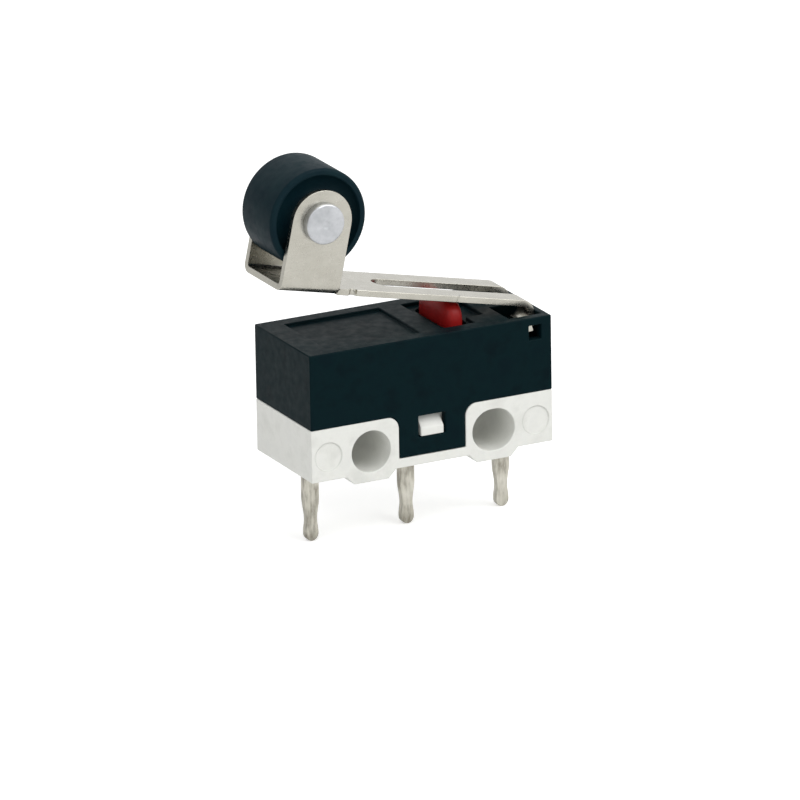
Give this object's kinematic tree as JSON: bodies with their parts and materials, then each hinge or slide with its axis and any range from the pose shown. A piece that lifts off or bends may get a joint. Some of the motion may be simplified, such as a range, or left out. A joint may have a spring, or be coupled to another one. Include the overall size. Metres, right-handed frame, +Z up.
{
  "type": "lever micro switch",
  "caption": "Subminiature snap-action switch with a roller lever, a snap-together housing, flat board pins, and a working lever, roller, plunger and spring blade.",
  "frame": {"origin": "midway between the axes of the two mounting holes, at mid-depth of the housing", "axes": "+Z up, away from the board and towards the lever; +X along the housing towards the lever's hinge; +Y from the front, where the roller pin's head is, to the back"},
  "size_m": [0.014, 0.0058, 0.0187],
  "materials": {
    "base_plastic": "off-white moulded plastic, semi-matt",
    "cover_plastic": "near-black moulded plastic with a teal tint, satin",
    "plunger_plastic": "red moulded plastic, satin",
    "roller_plastic": "black moulded plastic, satin",
    "lever_steel": "stainless spring steel, fine rolled grain",
    "pin_steel": "turned and riveted steel",
    "tinned_terminal": "tin-plated copper alloy, satin",
    "contact_silver": "silver alloy contact rivet",
    "spring_copper": "beryllium copper spring sheet"
  },
  "bodies": {
    "housing": {"base": "base_plastic", "cover": "cover_plastic", "common_terminal": "tinned_terminal", "normally_open_terminal": "tinned_terminal", "normally_closed_terminal": "tinned_terminal", "open_contact": "contact_silver", "closed_contact": "contact_silver"},
    "lever": {"lever": "lever_steel", "roller_pin": "pin_steel"},
    "roller": {"roller": "roller_plastic"},
    "plunger": {"plunger": "plunger_plastic"},
    "blade": {"snap_spring": "spring_copper", "moving_contact": "contact_silver"}
  },
  "joints": [
    {"name": "lever_hinge", "type": "hinge", "parent": "housing", "child": "lever", "pos_m": [0.0054, 0, 0.0046], "axis": [0, -1, 0], "range_deg": [0, 12], "stiffness_Nm_per_rad": 0.012, "springref_deg": -6.88},
    {"name": "roller_spin", "type": "hinge", "parent": "lever", "child": "roller", "pos_m": [-0.00512, 0, 0.01133], "axis": [0, -1, 0], "continuous": true},
    {"name": "plunger_slide", "type": "slide", "parent": "housing", "child": "plunger", "axis": [0, 0, -1], "range_m": [0, 0.00074]},
    {"name": "spring_swing", "type": "hinge", "parent": "housing", "child": "blade", "pos_m": [0.00435, 0, 0.00265], "axis": [0, -1, 0], "range_deg": [0, 2.6], "deforming": ["snap_spring"]}
  ],
  "couplings": [
    {"joint": "plunger_slide", "follows": "lever_hinge", "m_per_rad": 0.003485},
    {"joint": "spring_swing", "follows": "lever_hinge", "ratio": 0.2166}
  ]
}
